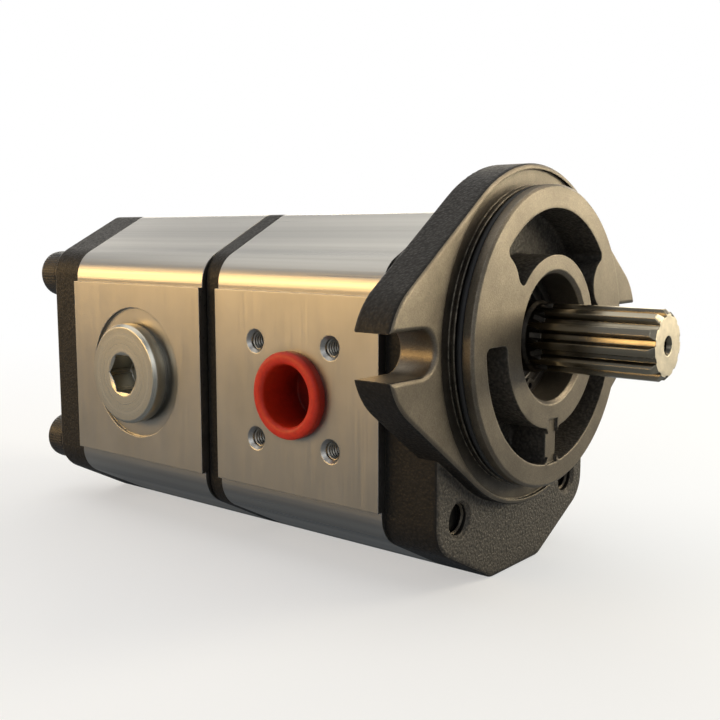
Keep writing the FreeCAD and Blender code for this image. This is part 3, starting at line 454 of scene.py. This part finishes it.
# %% Rough cast iron
cast_rough, tree, shader = new_look("rough cast iron", 0.5, 0.35, 0.35)
skin = use_group(tree, cast_skin, {"Grain": 1250.0, "Patches": 45.0})
dirt_and_shade = use_group(tree, grime_and_shade, {"Reach": 0.005, "Amount": 0.6})
wear_and_highlight = use_group(tree, edge_wear_and_highlight, {"Width": 0.0007, "Amount": 0.7, "Breaks": 800.0})
tone = tint(tree, skin["Speckle"], (0.042, 0.038, 0.033, 1.0), (0.120, 0.107, 0.089, 1.0))
tone = tint(tree, sum_of(tree, "MULTIPLY", skin["Patch"], 0.3), tone, (0.045, 0.040, 0.034, 1.0))
# Dark corner colour: painted shade and grime. Pale edge colour: wear and a painted highlight.
tone = layered(tree, tone, dirt_and_shade, (0.008, 0.008, 0.008), wear_and_highlight, (0.22, 0.19, 0.15))
feed(tree, shader, Base_Color=tone, Roughness=spread(tree, skin["Speckle"], 0.0, 1.0, 0.58, 0.36),
     Normal=bump(tree, skin["Height"], 0.00022, wear_and_highlight["Soft Normal"]))

# %% [markdown]
# Machined cast iron. The ears, the pilot and the seal housing are turned, so rings run round the shaft
# axis. Cut iron has open pores, so a fine version of the skin darkens it in specks, and oil has
# browned it. Most of it is metal.

# %% Machined cast iron
machined, tree, shader = new_look("machined cast iron", 0.42, 0.85)
rings = use_group(tree, turned_along_x, {"Rings": 2600.0})
skin = use_group(tree, cast_skin, {"Grain": 3000.0, "Patches": 110.0})
dirt_and_shade = use_group(tree, grime_and_shade, {"Reach": 0.007, "Amount": 1.0})
wear_and_highlight = use_group(tree, edge_wear_and_highlight, {"Width": 0.0006, "Amount": 0.8, "Breaks": 700.0})
tone = tint(tree, skin["Patch"], (0.15, 0.128, 0.098, 1.0), (0.225, 0.194, 0.150, 1.0))
tone = tint(tree, sum_of(tree, "MULTIPLY", skin["Speckle"], 0.5), tone, (0.06, 0.052, 0.043, 1.0))
# Dark corner colour: painted shade and grime. Pale edge colour: wear and a painted highlight.
tone = layered(tree, tone, dirt_and_shade, (0.015, 0.013, 0.012), wear_and_highlight, (0.42, 0.37, 0.29))
feed(tree, shader, Base_Color=tone, Roughness=spread(tree, rings["Height"], 0.3, 0.7, 0.34, 0.50),
     Normal=bump(tree, rings["Height"], 0.00002, bump(tree, skin["Height"], 0.00003, wear_and_highlight["Soft Normal"])))

# %% [markdown]
# Shaft steel. The shaft is hardened and ground, so it is the shiniest part: low roughness, faint lines
# along the teeth, and the spline's grooves darkened by old oil and by painted shade.

# %% Shaft steel
shaft_steel, tree, shader = new_look("polished shaft steel", 0.2, 1.0)
marks = use_group(tree, straight_marks, {"Across X": 15.0, "Across Y": 900.0, "Across Z": 900.0})
# A long reach paints shade deep into the spline's grooves, along with oil.
dirt_and_shade = use_group(tree, grime_and_shade, {"Reach": 0.010, "Amount": 1.0})
wear_and_highlight = use_group(tree, edge_wear_and_highlight, {"Width": 0.0004, "Amount": 0.55})
tone = tint(tree, marks["Tone"], (0.20, 0.176, 0.133, 1.0), (0.50, 0.445, 0.34, 1.0))
# Dark corner colour: painted shade and grime. Pale edge colour: wear and a painted highlight.
tone = layered(tree, tone, dirt_and_shade, (0.010, 0.009, 0.009), wear_and_highlight, (0.75, 0.68, 0.52))
feed(tree, shader, Base_Color=tone, Roughness=spread(tree, marks["Height"], 0.3, 0.7, 0.14, 0.28),
     Normal=bump(tree, marks["Height"], 0.00001, wear_and_highlight["Soft Normal"]))

# %% [markdown]
# Black oxide. The long bolts are dipped in hot salts that turn the steel black, and a wrench rubs the
# rims of their heads bright again, so the pale edge mask is strong here: worn rims with a painted highlight
# on them.

# %% Black oxide bolts
def black_oxide(name, wear_and_highlight_amount):
    """Black oxide with its head rims made pale by an amount, for rubbed rims and a painted highlight."""
    look, tree, shader = new_look(name, 0.38, 0.6)
    dirt_and_shade = use_group(tree, grime_and_shade, {"Reach": 0.009, "Amount": 1.0})
    # The wide edge mask paints the head rims pale: worn rims and a painted highlight.
    wear_and_highlight = use_group(tree, edge_wear_and_highlight, {"Width": 0.0010, "Amount": wear_and_highlight_amount, "Breaks": 900.0})
    cloud = spread(tree, noise(tree, place(tree), 400.0, 4.0), 0.3, 0.7)
    tone = tint(tree, cloud, (0.010, 0.010, 0.010, 1.0), (0.032, 0.029, 0.026, 1.0))
    # Dark corner colour: painted shade and grime. Pale rim colour: wear and a painted highlight.
    tone = layered(tree, tone, dirt_and_shade, (0.005, 0.005, 0.005), wear_and_highlight, (0.40, 0.35, 0.27))
    feed(tree, shader, Base_Color=tone, Roughness=spread(tree, cloud, 0.0, 1.0, 0.28, 0.44),
         Normal=bump(tree, cloud, 0.00001, wear_and_highlight["Soft Normal"]))
    return look


bolt_black = black_oxide("black oxide steel", 1.0)
knurl_black = black_oxide("black oxide knurl", 0.06)

# %% [markdown]
# Zinc plating. The screw plug is turned on a lathe and plated, so rings run round its own axis, which
# lies along Y. Its box gives the centre of the rings.

# %% Zinc plated plug
zinc, tree, shader = new_look("zinc plated steel", 0.3, 1.0)
plug_low, plug_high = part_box("suction_plug")
plug_middle = (plug_low + plug_high) / 2
rings = use_group(tree, turned_along_y,
                  {"Centre A": plug_middle.x, "Centre B": plug_middle.z, "Rings": 3000.0})
dirt_and_shade = use_group(tree, grime_and_shade, {"Reach": 0.005, "Amount": 1.0})
wear_and_highlight = use_group(tree, edge_wear_and_highlight, {"Width": 0.0005, "Amount": 0.8})
tone = tint(tree, rings["Tone"], (0.50, 0.475, 0.40, 1.0), (0.64, 0.61, 0.52, 1.0))
# Dark corner colour: painted shade and grime. Pale edge colour: wear and a painted highlight.
tone = layered(tree, tone, dirt_and_shade, (0.020, 0.020, 0.022), wear_and_highlight, (0.85, 0.82, 0.75))
feed(tree, shader, Base_Color=tone, Roughness=spread(tree, rings["Height"], 0.3, 0.7, 0.22, 0.38),
     Normal=bump(tree, rings["Height"], 0.00002, wear_and_highlight["Soft Normal"]))

# %% [markdown]
# Red plastic. The transit caps are moulded polyethylene: waxy, a little see-through at thin edges, and
# satin. A touch of subsurface gives the waxy depth, and painted shade from the grime group with a long reach
# makes the hollow plug sink to dark maroon, as a deep hole does.

# %% Red plastic
red_plastic, tree, shader = new_look("red moulded plastic", 0.4, 0.0, 0.3)
cloud = spread(tree, noise(tree, place(tree), 900.0, 4.0), 0.3, 0.7)
# A long reach paints shade deep into the hollow plug.
dirt_and_shade = use_group(tree, grime_and_shade, {"Reach": 0.012, "Amount": 1.0})
wear_and_highlight = use_group(tree, edge_wear_and_highlight, {"Width": 0.0009, "Amount": 0.25})
tone = tint(tree, cloud, (0.40, 0.018, 0.005, 1.0), (0.50, 0.025, 0.007, 1.0))
# The dark maroon is painted shade with some grime; the pale edge colour is wear and a painted highlight.
tone = layered(tree, tone, dirt_and_shade, (0.07, 0.001, 0.001), wear_and_highlight, (0.72, 0.060, 0.020))
feed(tree, shader, Base_Color=tone, Roughness=spread(tree, cloud, 0.0, 1.0, 0.34, 0.46),
     Normal=bump(tree, cloud, 0.00001, wear_and_highlight["Soft Normal"]), Subsurface_Weight=0.12, Subsurface_Scale=0.002)

# %% [markdown]
# The remaining finishes differ only in colour, gloss and how fine their lines are, so one function
# makes them all: ground steel, bronze, rubber, the pressed seal case, the soft washer and the plate.

# %% Finishes of the small pieces
def small_look(name, low, high, roughness, metallic=1.0, specular=0.5, across=(700.0, 700.0, 700.0)):
    """Finish between two tones, with lines or specks, corners darkened by painted shade with oil and dust,
    and edges paled by abrasion and a painted highlight.
    """
    look, tree, shader = new_look(name, roughness, metallic, specular)
    marks = use_group(tree, straight_marks,
                      {"Across X": across[0], "Across Y": across[1], "Across Z": across[2]})
    dirt_and_shade = use_group(tree, grime_and_shade, {"Reach": 0.003, "Amount": 0.7})
    wear_and_highlight = use_group(tree, edge_wear_and_highlight, {"Width": 0.0004, "Amount": 0.5})
    tone = tint(tree, spread(tree, marks["Height"], 0.3, 0.7), (*low, 1.0), (*high, 1.0))
    # Corners take a darker copy of the low tone as painted shade and grime, edges a paler copy of the high
    # tone as wear and painted highlight.
    tone = layered(tree, tone, dirt_and_shade, [v * 0.15 for v in low], wear_and_highlight, [min(1.0, v * 1.3) for v in high])
    gloss = spread(tree, marks["Height"], 0.3, 0.7, roughness * 0.85, roughness * 1.15)
    feed(tree, shader, Base_Color=tone, Roughness=gloss,
         Normal=bump(tree, marks["Height"], 0.00001, wear_and_highlight["Soft Normal"]))
    return look


# %% [markdown]
# Each finish goes to the nodes whose slot names it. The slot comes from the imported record, so a node
# can't end up in the wrong finish by a slip here. Two more small finishes serve single faces of the
# shaft: its neck is dark with oil from the seal, and its end was faced bright on the lathe.

# %% Dressing the nodes
looks = {
    "cast_black": cast_black, "body_aluminium": extruded, "shaft_steel": shaft_steel,
    "bolt_black": bolt_black, "plug_zinc": zinc, "red_plastic": red_plastic,
    "block_aluminium": small_look("machined bearing alloy", (0.50, 0.50, 0.50), (0.60, 0.60, 0.60), 0.35),
    "bush_bronze": small_look("sintered bronze", (0.42, 0.28, 0.12), (0.55, 0.38, 0.18), 0.4),
    "gear_steel": small_look("ground gear steel", (0.42, 0.41, 0.40), (0.52, 0.51, 0.50), 0.25),
    "spring_steel": small_look("spring steel", (0.05, 0.048, 0.045), (0.09, 0.085, 0.08), 0.4, 0.7),
    "dowel_steel": small_look("ground pin steel", (0.50, 0.50, 0.50), (0.60, 0.60, 0.60), 0.25),
    "seal_rubber": small_look("seal rubber", (0.012, 0.012, 0.013), (0.022, 0.022, 0.023), 0.55, 0.0, 0.35),
    "backup_plastic": small_look("backup plastic", (0.72, 0.70, 0.64), (0.80, 0.78, 0.72), 0.5, 0.0),
    "seal_case": small_look("pressed seal case", (0.20, 0.19, 0.18), (0.28, 0.27, 0.25), 0.35),
    "plug_washer": small_look("sealing washer", (0.45, 0.44, 0.41), (0.55, 0.54, 0.50), 0.35),
    "plate_silver": small_look("blank plate", (0.80, 0.77, 0.64), (0.90, 0.87, 0.74), 0.42, 0.6, 0.5,
                               (30.0, 30.0, 2500.0)),
}
shaft_oiled = small_look("oiled shaft neck", (0.020, 0.018, 0.016), (0.060, 0.052, 0.042), 0.4)
shaft_faced = small_look("faced shaft end", (0.62, 0.56, 0.44), (0.78, 0.70, 0.56), 0.38)
slot_of = {part["node"]: part["material_slot"] for part in frame["record"]["subparts"]}
for name, node in frame["nodes"].items():
    node.data.materials.clear()
    node.data.materials.append(looks[slot_of[name]])
print(len(slot_of), "nodes dressed in", len(looks), "finishes")

# %% [markdown]
# One casting carries several finishes, because only some of its faces were cut. Each face of a mesh has
# a material index, so a test on the face's middle and its normal gives cut faces their own finish. This
# changes no vertex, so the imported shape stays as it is.

# %% Faces with a second finish
def refinish(name, look, wanted):
    """Give the faces that pass a test a second finish; the test sees a face's middle in mm and its normal."""
    mesh = frame["nodes"][name].data
    mesh.materials.append(look)
    chosen = [face for face in mesh.polygons if wanted(face.center / MM, face.normal)]
    for face in chosen:
        face.material_index = len(mesh.materials) - 1
    print(name, len(chosen), "faces of", look.name)


pad_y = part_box("front_body")[1].y / MM
cover_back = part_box("rear_cover")[0].x / MM
shaft_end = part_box("drive_shaft")[1].x / MM
print("pad at", round(pad_y, 2), "mm, cover back at", round(cover_back, 2), "mm")

# %% [markdown]
# The tests themselves. The flange needs two: its front, pilot and slots are cut, while the foot and
# the pockets keep their cast skin. The foot and the pocket floors lie further back than the ears, so
# a step in X tells them apart. The shaft's neck is dark with oil, and its end is faced bright.

# %% Tests for faces
pilot_r = 41.275
seal_bore_r = 17.5
slot_half = 5.55
spline_start = 6.0
cast_step = -4.0
pocket_back = -6.0


def milled_pad(p, n):
    return abs(n.y) > 0.99 and abs(abs(p.y) - pad_y) < 1.5


def cut_on_flange(p, n):
    """Turned and milled faces: ears, pilot, seal housing and the walls of the bolt slots."""
    reach = math.hypot(p.y, p.z)
    front = n.x > 0.6 and p.x > cast_step
    pilot_wall = pilot_r - 5 < reach < pilot_r + 0.2 and p.x > -1
    slot_wall = abs(p.z) < slot_half + 0.1 and abs(p.y) > pilot_r + 5
    return front or pilot_wall or reach < seal_bore_r + 0.1 or slot_wall


def rough_on_flange(p, n):
    """Pocket floors and walls, and the foot's cast front."""
    floor_face = n.x > 0.6 and pocket_back < p.x <= cast_step
    in_pocket = seal_bore_r + 2 < math.hypot(p.y, p.z) < pilot_r - 4
    return floor_face or (in_pocket and p.x > pocket_back and abs(n.x) < 0.6)


def rough_on_cover(p, n):
    return n.x < -0.15 and p.x < cover_back + 6


def oiled_neck(p, n):
    """The shaft behind the full teeth, where the seal leaves its oil."""
    return p.x < spline_start + 0.4


def faced_end(p, n):
    return n.x > 0.95 and p.x > shaft_end - 0.5


refinish("drive_shaft", shaft_oiled, oiled_neck)
refinish("drive_shaft", shaft_faced, faced_end)
refinish("front_body", milled, milled_pad)
refinish("rear_body", milled, milled_pad)
refinish("front_flange", machined, cut_on_flange)
refinish("front_flange", cast_rough, rough_on_flange)
refinish("rear_cover", cast_rough, rough_on_cover)

# %% [markdown]
# New pieces. The small shapes that the imported model leaves plain are built point by point. Both kinds
# here are rings of points joined into a skin, so one helper joins them. Another turns the result into an
# object, gives it its finish and lets it ride on a body, so it moves with the pump.

# %% Mesh helpers
def new_piece(name, build, look, slot, body):
    """Mesh object from a bmesh filled by a function, finished and riding on a body; slot is not used."""
    made = bmesh.new()
    build(made)
    bmesh.ops.recalc_face_normals(made, faces=made.faces)
    mesh = bpy.data.meshes.new(name)
    made.to_mesh(mesh)
    made.free()
    mesh.materials.append(look)
    piece = bpy.data.objects.new(name, mesh)
    bpy.context.scene.collection.objects.link(piece)
    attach(piece, body)
    print(name, len(mesh.polygons), "faces")


def rings_to_faces(made, rings, closed):
    """Join rings of points into a skin, capped at both ends or joined end to end."""
    verts = [[made.verts.new(point) for point in ring] for ring in rings]
    count = len(rings[0])
    steps = list(zip(verts, verts[1:])) + ([(verts[-1], verts[0])] if closed else [])
    for low, high in steps:
        for i in range(count):
            j = (i + 1) % count
            made.faces.new((low[i], low[j], high[j], high[i]))
    if not closed:
        made.faces.new(verts[0][::-1])
        made.faces.new(verts[-1])


print("mesh helpers:", new_piece.__name__, rings_to_faces.__name__)

# %% [markdown]
# Knurled bolt heads. Fingers need grip to start a socket screw, so its head is rolled with fine upright
# ridges. They could be a bump, but their outline shows, so they are a thin toothed sleeve round each
# head. Its rings of points step in and out, and it is closed inside the steel, so the socket stays open.

# %% Knurled sleeves
head_back, head_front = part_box("through_bolts")[0].x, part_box("bolt_washers")[0].x
bolt_y, bolt_low, bolt_high = 29.5 * MM, -46.5 * MM, 13.5 * MM
bolt_places = [(y, z) for y in (-bolt_y, bolt_y) for z in (bolt_low, bolt_high)]
head_r = 8.0 * MM
sleeve_r, sleeve_inner_r = head_r - 0.03 * MM, head_r - 0.4 * MM
ridge_count = 54
ridge_height = 0.18 * MM
ridge_start, ridge_end = head_back + 1.5 * MM, head_front - 0.9 * MM
sleeve_profile = [(ridge_start, sleeve_inner_r, 0.0), (ridge_start, sleeve_r, 0.0),
                  (ridge_start + ridge_height, sleeve_r, ridge_height),
                  (ridge_end - ridge_height, sleeve_r, ridge_height),
                  (ridge_end, sleeve_r, 0.0), (ridge_end, sleeve_inner_r, 0.0)]


def knurl(made):
    """A toothed sleeve on each head; every second point of a ring stands out by its rise."""
    for y, z in bolt_places:
        rings = []
        for x, base_r, rise in sleeve_profile:
            ring = []
            for i in range(2 * ridge_count):
                angle = math.pi * i / ridge_count
                r = base_r + (rise if i % 2 else 0.0)
                ring.append((x, y + r * math.cos(angle), z + r * math.sin(angle)))
            rings.append(ring)
        rings_to_faces(made, rings, closed=True)


new_piece("bolt_head_knurls", knurl, knurl_black, "bolt_black", "housing")

# %% [markdown]
# Threads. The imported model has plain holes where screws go. A thread is a ridge that climbs the wall
# as a helix: a small triangle is carried round and moved along a little at each step. The ridge's foot
# is sunk in the wall, so nothing shows under it.

# %% Thread ridges
def thread_ridge(made, centre, axis, wall_r, depth, pitch, length):
    """Helical ridge in a round hole that starts at its mouth and runs along an axis."""
    steps_per_turn = 28
    axis = Vector(axis)
    across = axis.orthogonal().normalized()
    up = axis.cross(across)
    rings = []
    for i in range(int(length / pitch * steps_per_turn)):
        angle = 2 * math.pi * i / steps_per_turn
        out = across * math.cos(angle) + up * math.sin(angle)
        base = Vector(centre) + axis * (pitch * i / steps_per_turn)
        half = axis * pitch * 0.36
        foot = out * (wall_r + 0.06 * MM)
        rings.append([base + foot - half, base + foot + half, base + out * (wall_r - depth)])
    rings_to_faces(made, rings, closed=False)


port_middle = (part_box("front_body")[0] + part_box("front_body")[1]) / 2
port_bolt_reach = 14.14 * MM
foot_front = -4.4 * MM
mouth_depth = 1.4 * MM


def port_threads(made):
    """M6 threads in the four holes round the suction port."""
    for i in (-1, 1):
        for j in (-1, 1):
            mouth = (port_middle.x + i * port_bolt_reach, -pad_y * MM + mouth_depth,
                     port_middle.z + j * port_bolt_reach)
            thread_ridge(made, mouth, (0, 1, 0), wall_r=2.5 * MM, depth=0.42 * MM,
                         pitch=1.0 * MM, length=11.0 * MM)


def foot_threads(made):
    """M10 threads in the two holes of the foot."""
    for y, z in bolt_places[::2]:
        thread_ridge(made, (foot_front - mouth_depth, y, z), (-1, 0, 0), wall_r=4.3 * MM, depth=0.5 * MM,
                     pitch=1.5 * MM, length=2.0 * MM)


new_piece("port_screw_threads", port_threads, milled, "body_aluminium", "housing")
new_piece("foot_hole_threads", foot_threads, machined, "cast_black", "housing")
